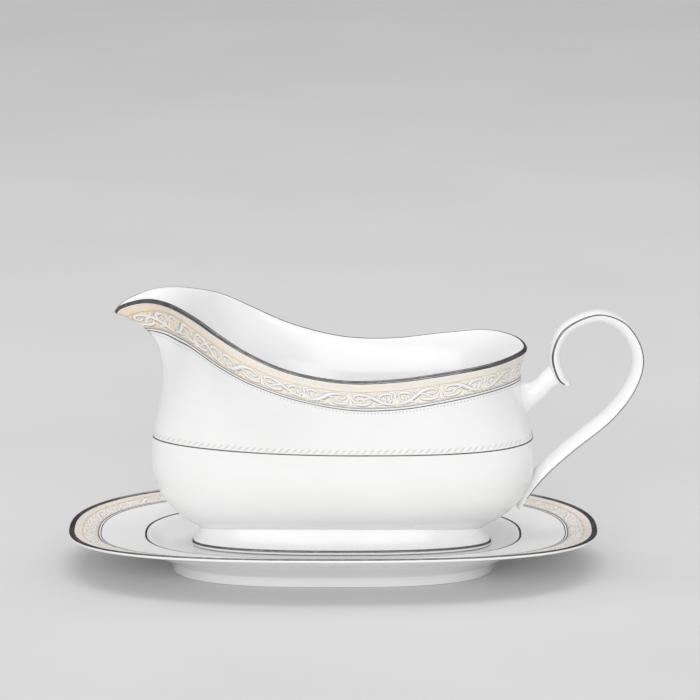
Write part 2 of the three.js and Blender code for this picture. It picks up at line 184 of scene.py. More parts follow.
# Leaf: base x, base y, angle in degrees, then length and breadth in shares of the height.
LEAVES = [
    (-0.34, 0.17, 112, 0.4, 0.22), (-0.26, 0.26, 92, 0.34, 0.2), (-0.2, 0.2, -25, 0.32, 0.2),
    (-0.04, 0.72, 118, 0.34, 0.2), (0.03, 0.66, -38, 0.4, 0.2), (0.12, 0.66, -66, 0.36, 0.2),
    (0.31, 0.24, 128, 0.3, 0.2), (-0.29, 0.76, -98, 0.3, 0.18), (0.44, 0.08, 40, 0.25, 0.16),
    (-0.43, 0.42, 60, 0.3, 0.18), (0.2, 0.28, 70, 0.24, 0.18), (0.44, 0.84, 70, 0.2, 0.16),
    (0.0, 0.1, 170, 0.3, 0.18), (0.04, 0.95, -10, 0.28, 0.16),
]
LEAF = {"points": 8, "start": 0.02, "bend": 0.5, "fullness": 0.8, "tip": 0.04}


# ------------------------------------------------------------------ curves
def along(points, count, closed):
    """Points spaced evenly by length along a polyline."""
    track = np.vstack([points, points[:1]]) if closed else points
    steps = np.linalg.norm(np.diff(track, axis=0), axis=1)
    length = np.concatenate([[0], np.cumsum(steps)])
    wanted = np.linspace(0, length[-1], count, endpoint=not closed)
    return np.stack([np.interp(wanted, length, track[:, k]) for k in range(track.shape[1])], -1)


def catmull(points, closed, per_span=24):
    """A centripetal Catmull-Rom curve through points."""
    points = np.asarray(points, float)
    count = len(points)
    if closed:
        padded = np.vstack([points[-1:], points, points[:2]])
    else:
        padded = np.vstack([2 * points[0] - points[1], points, 2 * points[-1] - points[-2]])
    spans = count if closed else count - 1
    w = (np.arange(per_span) / per_span)[:, None]
    curve = []
    for i in range(spans):
        p0, p1, p2, p3 = padded[i:i + 4]
        d0, d1, d2 = (math.sqrt(np.linalg.norm(b - a)) for a, b in ((p0, p1), (p1, p2), (p2, p3)))
        start = ((p1 - p0) / d0 - (p2 - p0) / (d0 + d1) + (p2 - p1) / d1) * d1
        end = ((p2 - p1) / d1 - (p3 - p1) / (d1 + d2) + (p3 - p2) / d2) * d1
        square, cube = -3 * p1 + 3 * p2 - 2 * start - end, 2 * p1 - 2 * p2 + start + end
        curve.append(p1 + start * w + square * w ** 2 + cube * w ** 3)
    if not closed:
        curve.append(points[-1:])
    return np.concatenate(curve)


def oval(shape, centre_x, z, outset=0.0):
    """A level oval from its front tip round the near side.

    `front`, `back` and `half` are its reaches, `middle` is where its widest place lies, `powers` make its
    front and back ends rounder or squarer, and `lift` raises its long sides above its ends.
    """
    angle = np.linspace(0, 2 * math.pi, OVAL_POINTS, endpoint=False)
    lengthwise, crosswise = -np.cos(angle), np.sin(angle)
    middle = shape.get("middle", 0)
    ahead = lengthwise < 0
    power = 2 / np.where(ahead, *shape["powers"])
    reach = np.where(ahead, shape["front"] + middle, shape["back"] - middle) + outset
    side = np.sign(crosswise) * np.abs(crosswise) ** power
    points = np.stack([
        centre_x + middle + reach * np.sign(lengthwise) * np.abs(lengthwise) ** power,
        -(shape["half"] + outset) * side,
        z + shape.get("lift", 0) * side ** 2,
    ], -1)
    return along(points, COLUMNS, closed=True)


def bezier(p0, p1, p2, p3, count):
    """Rows of a surface whose every column is a cubic Bezier curve."""
    t = np.linspace(0, 1, count)[:, None, None]
    return (1 - t) ** 3 * p0 + 3 * t * (1 - t) ** 2 * p1 + 3 * t * t * (1 - t) * p2 + t ** 3 * p3


def at_height(ring, z):
    """A copy of a ring with its points at another height."""
    moved = ring.copy()
    moved[:, 2] = z
    return moved


def unit(vectors):
    """Vectors of length 1."""
    return vectors / np.maximum(np.linalg.norm(vectors, axis=-1, keepdims=True), 1e-9)


def normals(grid):
    """Normals of a surface of rows running down its outside and columns running anticlockwise."""
    down = np.gradient(grid, axis=0)
    across = np.roll(grid, -1, 1) - np.roll(grid, 1, 1)
    return unit(np.cross(down, across))


def column_lengths(grid):
    """Length down every column of a surface at each of its rows."""
    steps = np.linalg.norm(np.diff(grid, axis=0), axis=2)
    return np.vstack([np.zeros(grid.shape[1]), np.cumsum(steps, axis=0)])


def rows_by_depth(grid, depths):
    """Rows of a surface at lengths down its columns: `depths` has a line for each row."""
    length = column_lengths(grid)
    rows = np.empty((*depths.shape, 3))
    for column in range(grid.shape[1]):
        for k in range(3):
            rows[:, column, k] = np.interp(depths[:, column], length[:, column], grid[:, column, k])
    return rows


def rows_by_height(grid, heights):
    """Rows of a falling surface at given heights."""
    rows = np.empty((len(heights), grid.shape[1], 3))
    for column in range(grid.shape[1]):
        z = grid[::-1, column, 2]
        for k in range(2):
            rows[:, column, k] = np.interp(heights, z, grid[::-1, column, k])
        rows[:, column, 2] = heights
    return rows


# ------------------------------------------------------------------ meshes
def face_outward(mesh):
    """Turn the faces of closed shells to look outward."""
    shells = bmesh.new()
    shells.from_mesh(mesh)
    bmesh.ops.recalc_face_normals(shells, faces=shells.faces)
    shells.to_mesh(mesh)
    shells.free()


def make_mesh(name, vertices, faces, material, solid=True):
    """A mesh object: a smooth closed solid, or a flat sheet."""
    mesh = bpy.data.meshes.new(name)
    mesh.from_pydata((np.asarray(vertices) * MM).tolist(), [], faces)
    if solid:
        face_outward(mesh)
    mesh.polygons.foreach_set("use_smooth", [solid] * len(mesh.polygons))
    mesh.materials.append(material)
    mesh.update()
    piece = bpy.data.objects.new(name, mesh)
    bpy.context.scene.collection.objects.link(piece)
    return piece


def grid_faces(rows, columns, loop=False):
    """Faces between rings of points, and from the last ring back to the first if they form a loop."""
    faces = []
    for r in range(rows if loop else rows - 1):
        below = (r + 1) % rows
        for i in range(columns):
            j = (i + 1) % columns
            faces.append((r * columns + i, below * columns + i, below * columns + j, r * columns + j))
    return faces


def skin(name, grid, material, loop=False):
    """A closed body over rings: a loop joins its last ring to its first, else both ends are capped."""
    rows, columns = grid.shape[:2]
    faces = grid_faces(rows, columns, loop)
    if not loop:
        faces.append(tuple(range(columns)))
        faces.append(tuple(range(rows * columns - 1, (rows - 1) * columns - 1, -1)))
    return make_mesh(name, grid.reshape(-1, 3), faces, material)


def film(name, rows, row_normals, material):
    """A closed band of decoration: its face is proud of the china and its back is buried in it."""
    face = rows + row_normals * FILM
    back = (rows - row_normals * FILM)[::-1]
    return skin(name, np.concatenate([face, back]), material, loop=True)


class Chart:
    """A strip of surface laid out flat: u runs round it in millimetres, v runs across its rows."""

    def __init__(self, rows, row_normals, v_values):
        self.rows = np.concatenate([rows, rows[:, :1]], 1)
        self.normals = np.concatenate([row_normals, row_normals[:, :1]], 1)
        self.v_values = np.asarray(v_values, float)
        core = self.rows[len(v_values) // 2]
        steps = np.linalg.norm(np.diff(core, axis=0), axis=1)
        self.length_at = np.concatenate([[0], np.cumsum(steps)])
        self.length = self.length_at[-1]

    def place(self, u, v, lift):
        """Points at u and v, lifted off the surface."""
        u = np.asarray(u, float) % self.length
        column = np.interp(u, self.length_at, np.arange(len(self.length_at)))
        row = np.interp(v, self.v_values, np.arange(len(self.v_values)))
        c0 = np.minimum(column.astype(int), self.rows.shape[1] - 2)
        r0 = np.minimum(row.astype(int), self.rows.shape[0] - 2)
        a, b = (column - c0)[..., None], (row - r0)[..., None]

        def blend(values):
            top = values[r0, c0] * (1 - a) + values[r0, c0 + 1] * a
            bottom = values[r0 + 1, c0] * (1 - a) + values[r0 + 1, c0 + 1] * a
            return top * (1 - b) + bottom * b

        return blend(self.rows) + unit(blend(self.normals)) * np.asarray(lift, float)[..., None]


class Strip:
    """The decorated strip below a surface's edge. `facing` is -1 if its normals point into the china."""

    def __init__(self, surface, depth, stretch, facing):
        self.surface, self.stretch = surface, stretch
        self.depths = np.arange(0, depth + STEP / 2, STEP)
        rows = rows_by_depth(surface, np.outer(self.depths, stretch))
        self.normals = normals(rows) * facing
        self.chart = Chart(rows, self.normals, self.depths)

    def band(self, name, low, high, material):
        """A film of decoration between two depths."""
        between = self.depths[(self.depths > low) & (self.depths < high)]
        depths = np.concatenate([[low], between, [high]])
        rows = rows_by_depth(self.surface, np.outer(depths, self.stretch))
        nearest = np.round(depths / STEP).astype(int)
        return film(name, rows, self.normals[nearest], material)


class Relief:
    """Many small closed shapes laid on a chart and gathered into one mesh."""

    def __init__(self, chart):
        self.chart = chart
        self.vertices, self.faces = [], []

    def add(self, vertices, faces):
        start = sum(len(v) for v in self.vertices)
        self.vertices.append(vertices)
        self.faces.extend(tuple(start + k for k in face) for face in faces)

    def ribbon(self, u, v, widths, crown=0.11, base=0.08):
        """A strip with a crowned top along a line of points."""
        u, v, widths = (np.asarray(a, float) for a in (u, v, widths))
        du, dv = np.gradient(u), np.gradient(v)
        size = np.maximum(np.hypot(du, dv), 1e-6)
        side_u, side_v = -dv / size * widths / 2, du / size * widths / 2
        count = len(u)
        ring_u = np.stack([u + side_u, u, u - side_u, u], 1)
        ring_v = np.stack([v + side_v, v, v - side_v, v], 1)
        lift = np.tile([base, crown, base, -FILM], (count, 1))
        vertices = self.chart.place(ring_u, ring_v, lift).reshape(-1, 3)
        ends = [(3, 2, 1, 0), tuple(4 * count - 4 + k for k in range(4))]
        self.add(vertices, grid_faces(count, 4) + ends)

    def dome(self, u, v, radius, height, sides=8):
        """A round bead."""
        angle = np.linspace(0, 2 * math.pi, sides, endpoint=False)
        ring_u, ring_v, lift = [], [], []
        for share, level in ((1, -FILM), (1, height * 0.25), (0.7, height * 0.8)):
            ring_u.append(u + radius * share * np.cos(angle))
            ring_v.append(v + radius * share * np.sin(angle))
            lift.append(np.full(sides, level))
        vertices = self.chart.place(np.array(ring_u), np.array(ring_v), np.array(lift)).reshape(-1, 3)
        top = self.chart.place(np.array([u]), np.array([v]), np.array([height]))
        hub = 3 * sides
        cap = [(2 * sides + k, hub, 2 * sides + (k + 1) % sides) for k in range(sides)]
        self.add(np.vstack([vertices, top]), grid_faces(3, sides) + [tuple(range(sides))] + cap)

    def build(self, name, material):
        return make_mesh(name, np.concatenate(self.vertices), self.faces, material)


# ------------------------------------------------------------------ materials
def node_material(name):
    """A new material with its nodes, links, shader and texture coordinates."""
    material = bpy.data.materials.new(name)
    material.use_nodes = True
    nodes, links = material.node_tree.nodes, material.node_tree.links
    shader = nodes["Principled BSDF"]
    place = nodes.new("ShaderNodeTexCoord")
    return material, nodes, links, shader, place


def noise(nodes, links, place, scale, detail=3.0):
    """Cloudy noise over the object, 0 to 1."""
    texture = nodes.new("ShaderNodeTexNoise")
    texture.inputs["Scale"].default_value = scale
    texture.inputs["Detail"].default_value = detail
    links.new(place.outputs["Object"], texture.inputs["Vector"])
    return texture.outputs["Fac"]


def ramp(nodes, links, value, low, high, positions=(0.35, 0.65)):
    """A blend of two colours."""
    node = nodes.new("ShaderNodeValToRGB")
    for element, position, colour in zip(node.color_ramp.elements, positions, (low, high)):
        element.position = position
        element.color = (*colour, 1)
    links.new(value, node.inputs["Fac"])
    return node.outputs["Color"]


def bump(nodes, links, value, shader, strength, distance):
    """A fine unevenness of the surface."""
    node = nodes.new("ShaderNodeBump")
    node.inputs["Strength"].default_value = strength
    node.inputs["Distance"].default_value = distance
    links.new(value, node.inputs["Height"])
    links.new(node.outputs["Normal"], shader.inputs["Normal"])


def spread(nodes, links, value, low, high):
    """A value of 0 to 1 carried over to another range."""
    node = nodes.new("ShaderNodeMapRange")
    node.inputs["To Min"].default_value = low
    node.inputs["To Max"].default_value = high
    links.new(value, node.inputs["Value"])
    return node.outputs["Result"]


def glaze(name, low, high, roughness, ripple, coat):
    """Fired glaze: a slightly uneven colour under a clear coat with a faint ripple."""
    material, nodes, links, shader, place = node_material(name)
    body = noise(nodes, links, place, 30)
    links.new(ramp(nodes, links, body, low, high), shader.inputs["Base Color"])
    fine = noise(nodes, links, place, 220)
    links.new(spread(nodes, links, fine, *roughness), shader.inputs["Roughness"])
    bump(nodes, links, noise(nodes, links, place, 90), shader, ripple, 0.0004)
    shader.inputs["IOR"].default_value = 1.52
    shader.inputs["Coat Weight"].default_value = coat
    shader.inputs["Coat Roughness"].default_value = 0.12
    return material


def shaded_ground(name, shaded_at_spout, along_side):
    """Fired enamel, mottled all over, and darker and tanner towards the spout: there the colour is painted
    shade, partly also the enamel's own warmer tone.
    """
    material, nodes, links, shader, place = node_material(name)
    split = nodes.new("ShaderNodeSeparateXYZ")
    links.new(place.outputs["Object"], split.inputs["Vector"])
    # Towards the spout the colour turns darker and tanner: painted shade, partly also the enamel's own
    # warmer tone.
    reach = nodes.new("ShaderNodeMapRange")
    reach.inputs["From Min"].default_value, reach.inputs["From Max"].default_value = SPOUT_SHADE_FADE
    links.new(split.outputs["X"], reach.inputs["Value"])
    spout_shade = ramp(nodes, links, reach.outputs["Result"], shaded_at_spout, along_side, (0, 1))
    mottle = ramp(nodes, links, noise(nodes, links, place, 400, 4.0), (0.96, 0.96, 0.96), (1, 1, 1))
    mixed = nodes.new("ShaderNodeMix")
    mixed.data_type = "RGBA"
    mixed.blend_type = "MULTIPLY"
    mixed.inputs["Factor"].default_value = 1
    links.new(spout_shade, mixed.inputs["A"])
    links.new(mottle, mixed.inputs["B"])
    links.new(mixed.outputs["Result"], shader.inputs["Base Color"])
    links.new(spread(nodes, links, noise(nodes, links, place, 150), 0.3, 0.45), shader.inputs["Roughness"])
    return material


def lustre(name, low, high):
    """Platinum fired on glaze: a dark bright metal with brushed-on unevenness."""
    material, nodes, links, shader, place = node_material(name)
    strokes = noise(nodes, links, place, 260, detail=5.0)
    links.new(ramp(nodes, links, strokes, low, high), shader.inputs["Base Color"])
    links.new(spread(nodes, links, strokes, 0.16, 0.34), shader.inputs["Roughness"])
    bump(nodes, links, strokes, shader, 0.08, 0.0001)
    shader.inputs["Metallic"].default_value = 1.0
    shader.inputs["Specular Tint"].default_value = (0.35, 0.35, 0.36, 1)
    return material


CHINA = glaze("bone_china_glaze", (0.87, 0.87, 0.87), (0.895, 0.895, 0.895), (0.2, 0.28), 0.03, 0.3)
PLATINUM = lustre("platinum_lustre", (0.13, 0.13, 0.134), (0.21, 0.21, 0.215))
# The boat's ground is painted darker and tanner at the spout: painted shade of the spout, partly also the
# enamel's own warmer tone.
BOAT_GROUND = shaded_ground("boat_frieze_ground", (0.86, 0.68, 0.47), (0.93, 0.86, 0.735))
STAND_GROUND = shaded_ground("stand_frieze_ground", (0.84, 0.71, 0.59), (0.84, 0.71, 0.59))
FRIEZE_TAN = glaze("frieze_tan", (0.5, 0.41, 0.3), (0.56, 0.47, 0.35), (0.3, 0.4), 0.05, 0.1)
SCROLL_WHITE = glaze("scroll_white", (0.9, 0.89, 0.87), (0.93, 0.92, 0.905), (0.2, 0.35), 0.05, 0.2)
BEAD_GREY = glaze("bead_grey", (0.42, 0.41, 0.4), (0.5, 0.49, 0.47), (0.2, 0.35), 0.1, 0.2)
ROPE_PINK = glaze("rope_pink", (0.74, 0.62, 0.55), (0.8, 0.69, 0.62), (0.25, 0.4), 0.1, 0.1)


def finish(piece, body, slot, *replaced):
    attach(piece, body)
    if replaced:
        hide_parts(*replaced)
    return piece


# ------------------------------------------------------------------ the bowl
def rim_curve():
    """The bowl's rim, from the spout's tip round the near side."""
    stations = np.array(RIM_STATIONS, float) * (1, -1, 1) + (BOAT_X, 0, 0)
    far_side = stations[1:-1][::-1] * (1, -1, 1)
    return along(catmull(np.vstack([stations, far_side]), closed=True), COLUMNS, closed=True)


def neck_curve(rim):
    """The curve that the wall heads for as it leaves the rim."""
    x = rim[:, 0]
    start, end = x[0], x[COLUMNS // 2]
    share = (x - start) / (end - start)

    def mixed(key):
        return NECK_FRONT[key] * (1 - share) + NECK_BACK[key] * share

    def pulled(neck, distance):
        return neck["pull"] * np.exp(-(distance / neck["reach"]) ** 2)

    return np.stack([
        x + pulled(NECK_FRONT, x - start) - pulled(NECK_BACK, end - x),
        rim[:, 1] * mixed("width"),
        rim[:, 2] - mixed("drop"),
    ], -1)


def upper_wall():
    """The outside of the bowl from the rim down to the girdle."""
    rim = rim_curve()
    girdle = oval(GIRDLE, BOAT_X, GIRDLE_Z)
    shoulder = at_height(girdle, GIRDLE_Z + (rim[:, 2] - GIRDLE_Z) * SHOULDER)
    return bezier(rim, neck_curve(rim), shoulder, girdle, UPPER_ROWS)


def lower_wall():
    """The outside of the bowl from the girdle down to the foot."""
    girdle = oval(GIRDLE, BOAT_X, GIRDLE_Z)
    flank, keel = at_height(girdle, FLANK_Z), oval(KEEL, BOAT_X, KEEL_Z)
    return bezier(girdle, flank, keel, oval(SEAT, BOAT_X, SEAT_Z), LOWER_ROWS)


UPPER = upper_wall()
# The bands widen beside the spout, where the wall turns back on itself.
# Each bump of the widening: share, distance from the tip, reach.
WIDENING = [(0.55, 11.5, 15), (0.24, 45, 22), (-0.12, 0, 1.5)]
FROM_TIP = UPPER[0, :, 0] - UPPER[0, 0, 0]
STRETCH = 1 + sum(share * np.exp(-((FROM_TIP - place) / reach) ** 2) for share, place, reach in WIDENING)


def outer_wall():
    """Rows of the upper wall from just under the lip's rounding down to the girdle."""
    start = LIP / 2
    length = column_lengths(UPPER)[-1]
    return rows_by_depth(UPPER, start + (length - start) * np.linspace(0, 1, WALL_ROWS)[:, None])


def lip_arc(outer, inner, steps=7, outset=0.0, span=(0, math.pi)):
    """The rounded crest between the top rows of the wall's outer and inner faces."""
    middle = (outer + inner) / 2
    out = unit(outer - inner)
    radius = np.linalg.norm(outer - inner, axis=1)[:, None] / 2 + outset
    across = np.roll(outer, -1, 0) - np.roll(outer, 1, 0)
    up = unit(np.cross(across, out))
    up *= np.sign(up[:, 2:3])
    return np.stack([middle + radius * (math.cos(a) * out + math.sin(a) * up)
                     for a in np.linspace(*span, steps)])


def bowl():
    """Build the bowl. Returns the top rows of its wall's outer and inner faces."""
    outer = outer_wall()
    depth = np.linspace(0, 1, WALL_ROWS)[:, None, None]
    thickness = LIP + (WALL - LIP) * np.minimum(depth * THICKENING, 1)
    inner = outer - normals(outer) * thickness
    inner_girdle = inner[-1]
    inner_keel = oval(INNER_KEEL, BOAT_X, FLOOR_Z + FLOOR_RISE)
    inner_low = bezier(inner_girdle, at_height(inner_girdle, FLANK_Z), inner_keel,
                       oval(INNER_SPINE, BOAT_X, FLOOR_Z), LOWER_ROWS)
    crest = lip_arc(outer[0], inner[0])
    underside = [oval(SEAT, BOAT_X, SEAT_Z + lift, outset) for lift, outset in UNDERSIDE]
    rings = np.concatenate([inner_low[::-1], inner[::-1][1:-1], crest[::-1], outer[1:], lower_wall()[1:],
                            underside])
    finish(skin("bowl_shell", rings[::-1], CHINA), "boat", "china", "boat_bowl")
    return outer[0], inner[0]


def boat_foot():
    """The foot ring luted under the bowl, with the line round its toe."""
    seat_z = SEAT_Z + FOOT_SEAT["rise"]
    seat = oval(SEAT, BOAT_X, seat_z, FOOT_SEAT["outset"])
    waist = oval({**SEAT, "lift": FOOT_WAIST["lift"]}, BOAT_X, SEAT_Z - FOOT_WAIST["drop"],
                 FOOT_WAIST["outset"])
    skirt = oval(TOE, BOAT_X, FOOT_BASE + FOOT_SKIRT["height"], FOOT_SKIRT["outset"])
    tread = [oval(TOE, BOAT_X, FOOT_BASE + height, outset) for height, outset in FOOT_TREAD]
    inside = oval({**SEAT, "lift": FOOT_INSIDE_LIFT}, BOAT_X, seat_z, -FOOT_WIDTH)
    cove = bezier(seat, waist, skirt, tread[0], COVE_ROWS)
    rings = np.concatenate([cove, tread[1:], [inside]])
    finish(skin("boat_foot_ring", rings, CHINA, loop=True), "boat", "china", "boat_foot")

    low, high = FOOT_LINE
    rows = rows_by_height(cove, np.linspace(FOOT_BASE + high, FOOT_BASE + low, FOOT_LINE_ROWS))
    line = film("boat_foot_platinum_film", rows, normals(rows), PLATINUM)
    finish(line, "boat", "platinum", "boat_foot_platinum")


# ------------------------------------------------------------------ decoration of both friezes
def scroll_band(relief, top, bottom, pitch):
    """A row of scroll motifs, every second one mirrored."""
    height = bottom - top
    count = 2 * round(relief.chart.length / pitch / 2)
    pitch = relief.chart.length / count
    for k in range(count):
        hand = 1 if k % 2 else -1
        centre = (k + 0.5) * pitch
        for points, widths in RIBBONS:
            line = catmull(points, closed=False, per_span=6)
            share = np.linspace(0, len(widths) - 1, len(line))
            width = height * np.interp(share, range(len(widths)), widths)
            relief.ribbon(centre + hand * pitch * line[:, 0], bottom - height * line[:, 1], width)
        for x, y, angle, length, breadth in LEAVES:
            leaf(relief, centre + hand * pitch * x, bottom - height * y,
                 math.radians(angle), hand, height * length, height * breadth)


def leaf(relief, u, v, angle, hand, length, width):
    """A teardrop, slightly bent."""
    share = np.linspace(LEAF["start"], 1, LEAF["points"])
    bend = angle + LEAF["bend"] * share
    relief.ribbon(u + hand * length * share * np.cos(bend), v - length * share * np.sin(bend),
                  width * np.sin(math.pi * share ** LEAF["fullness"]) + LEAF["tip"])


def reeds(relief, top, bottom):
    """Long thin leaves slanting across the plain strip above the scroll."""
    cells = round(relief.chart.length / REED["run"])
    run = relief.chart.length / cells
    share = np.linspace(0, 1, REED["points"])
    width = REED["width"] * np.sin(math.pi * share) + REED["tip"]
    for cell in range(cells):
        for k in range(REED["count"]):
            start = (cell + k / REED["count"]) * run
            relief.ribbon(start + share * run * REED["overlap"],
                          top + (bottom - top) * share ** REED["bow"], width)


def tan_lines(chart, depths):
    """Fine raised lines all the way round, at the edge of a frieze and below its reeds."""
    lines = Relief(chart)
    u = np.linspace(0, chart.length, TAN_LINE["points"])
    for depth in depths:
        lines.ribbon(u, np.full(len(u), depth), np.full(len(u), TAN_LINE["width"]),
                     TAN_LINE["crown"], TAN_LINE["base"])
    return lines


def frieze(body, strip, sizes, ground):
    """A band of enamel with its reeds, scrolls and tan lines, and the two hairlines beside it."""
    band = strip.band(f"{body}_frieze_ground", *sizes["ground"], ground)
    finish(band, body, "frieze_enamel", f"{body}_frieze")
    for side, (low, high) in sizes["hairlines"].items():
        line = strip.band(f"{body}_hairline_{side}_film", low, high, PLATINUM)
        finish(line, body, "platinum", f"{body}_hairline_{side}")

    relief = Relief(strip.chart)
    scroll_band(relief, *sizes["scroll"], sizes["pitch"])
    reeds(relief, *sizes["reeds"])
    finish(relief.build(f"{body}_frieze_scroll", SCROLL_WHITE), body, "frieze_enamel")
    edge = sizes["ground"][1] - TAN_LINE["width"] / 2
    lines = tan_lines(strip.chart, (sizes["divider"], edge))
    finish(lines.build(f"{body}_frieze_lines", FRIEZE_TAN), body, "frieze_enamel")


# ------------------------------------------------------------------ boat decoration
def rim_line(outer, inner):
    """The platinum over the lip's rounding."""
    crest, buried = (lip_arc(outer, inner, 8, outset, RIM_METAL) for outset in (FILM, -FILM))
    line = skin("boat_rim_platinum_film", np.concatenate([crest, buried[::-1]]), PLATINUM, loop=True)
    finish(line, "boat", "platinum", "boat_rim_platinum")


def bead_row(chart):
    """The row of dots below the hairlines."""
    beads = Relief(chart)
    count = round(chart.length / BEADS["pitch"])
    for k in range(count):
        beads.dome(k * chart.length / count, BEADS["depth"], BEADS["radius"], BEADS["height"])
    finish(beads.build("boat_bead_row", BEAD_GREY), "boat", "bead_enamel", "boat_beading")


def waist_line():
    """The platinum line round the waist."""
    low, high = WAIST_LINE
    rows = rows_by_height(UPPER, np.array([high, (low + high) / 2, low]))
    line = film("boat_waist_platinum_film", rows, normals(rows), PLATINUM)
    finish(line, "boat", "platinum", "boat_waist_line")


def rope_border():
    """The row of slanted marks above the waist line."""
    lowest, highest = ROPE_STRIP
    heights = np.arange(lowest, highest + STEP / 2, STEP)[::-1]
    strip = rows_by_height(UPPER, heights)
    chart = Chart(strip, normals(strip), -heights)
    rope = Relief(chart)
    count = round(chart.length / ROPE["pitch"])
    pitch = chart.length / count
    share = np.linspace(0, 1, ROPE["points"])
    slant = ROPE["start"] + ROPE["length"] * share + ROPE["wave"] * np.sin(2 * math.pi * share)
    v = -ROPE["low"] + (ROPE["low"] - ROPE["high"]) * share
    width = ROPE["width"] * np.sin(math.pi * (ROPE["blunt"] + (1 - 2 * ROPE["blunt"]) * share))
    for k in range(count):
        rope.ribbon((k + slant) * pitch, v, width, ROPE["crown"], ROPE["base"])
    finish(rope.build("boat_rope_marks", ROPE_PINK), "boat", "rope_enamel", "boat_rope_border")


# ------------------------------------------------------------------ the handle
def sweep(path, count, section):
    """Rings of a section carried along a path in the boat's middle plane."""
    curve = along(catmull(path, closed=False, per_span=40), count, closed=False)
    tangent = unit(np.gradient(curve, axis=0))
    rings = []
    for k, ((x, z), (tx, tz)) in enumerate(zip(curve, tangent)):
        outline = section(k / (count - 1))
        rings.append([(BOAT_X + x - tz * n, y, z + tx * n) for y, n in outline])
    return np.array(rings)


def back_face_x(points):
    """How far back the bowl's rear face stands at the sides and heights of some points."""
    rear = UPPER[:, COLUMNS * 3 // 8:COLUMNS * 5 // 8 + 1]
    reach = []
    for _, y, z in points:
        level = rows_by_height(rear, [z])[0]
        order = np.argsort(level[:, 1])
        reach.append(np.interp(y, level[order, 1], level[order, 0]))
    return np.array(reach)


def rise(share, over):
    """The height of a round tip's profile, which reaches 1 at a given share."""
    return math.sqrt(max(0.0, min(share / over, 1.0)))


def smooth_step(value, low, high):
    """0 below one value, 1 above another, and an easy curve between them."""
    t = min(max((value - low) / (high - low), 0), 1)
    return t * t * (3 - 2 * t)


def strap_size(t):
    """Half width, thickness and dome of the strap: it thins to both tips and domes near the scroll."""
    (scroll_start, scroll_run), (tail_start, tail_run) = STRAP["scroll_tip"], STRAP["tail_tip"]
    taper = min(rise(t + scroll_start, scroll_run), rise(1 - t + tail_start, tail_run))
    domed, flat = STRAP["domes"]
    dome = (domed + (flat - domed) * smooth_step(t, *STRAP["flattens"])) * taper
    least = STRAP["least_width"]
    return STRAP["half"] * (least + (1 - least) * taper), STRAP["thick"] * taper, dome


def strap_point(t, angle, outset=0.0):
    """A point of the strap's section: its place across the strap and above the path."""
    half, thick, dome = strap_size(t)
    height = dome if math.sin(angle) > 0 else thick - dome
    return (half + outset) * math.cos(angle), (height + outset) * math.sin(angle)


def strap_line(side, name):
    """The platinum line along one edge of the strap."""
    def section(t):
        face = [strap_point(t, angle, FILM) for angle in EDGE_ANGLES]
        back = [strap_point(t, angle, -FILM) for angle in EDGE_ANGLES[::-1]]
        return [(side * y, n) for y, n in face + back]

    rings = sweep(STRAP_PATH, STRAP_RINGS, section)[LINE_RINGS]
    line = skin(f"handle_{name}_platinum_film", rings, PLATINUM)
    finish(line, "boat", "platinum", f"handle_line_{name}")


def stem(angles):
    """The stem from the bowl to the strap. Its first rings follow the bowl's wall."""
    spots = np.linspace(0, 1, len(STEM_PATH))

    def section(t):
        flare = STEM_FLARE["size"] * math.exp(-t / STEM_FLARE["run"])
        height = np.interp(t, spots, STEM_HEIGHTS) + flare
        width = np.interp(t, spots, STEM_WIDTHS) + flare
        return [(width * math.cos(a), height * math.sin(a)) for a in angles]

    rings = sweep(STEM_PATH, STEM_RINGS, section)
    for k, ring in enumerate(rings[:ROOT_RINGS]):
        ease = 1 - smooth_step(k / (ROOT_RINGS - 1), 0, 1)
        ring[:, 0] += ease * (back_face_x(ring) - back_face_x(ring.mean(0)[None]))
    finish(skin("handle_stem_china", rings, CHINA), "boat", "china", "handle_stem")


def handle():
    """The strap with the lines along its edges, and the stem."""
    angles = np.linspace(0, 2 * math.pi, SECTION_POINTS, endpoint=False)
    strap = sweep(STRAP_PATH, STRAP_RINGS, lambda t: [strap_point(t, a) for a in angles])
    finish(skin("handle_strap_china", strap, CHINA), "boat", "china", "handle_strap")
    strap_line(-1, "near")
    strap_line(1, "far")
    stem(angles)


# ------------------------------------------------------------------ the stand
def stand_edge(degrees):
    """A ring on the stand's rounded edge, at an angle above its outermost line."""
    angle = math.radians(degrees)
    radius = STAND_EDGE / 2
    z = RIM_Z + (math.sin(angle) - 1) * radius
    return oval(STAND_RIM, STAND_X, z, (math.cos(angle) - 1) * radius)


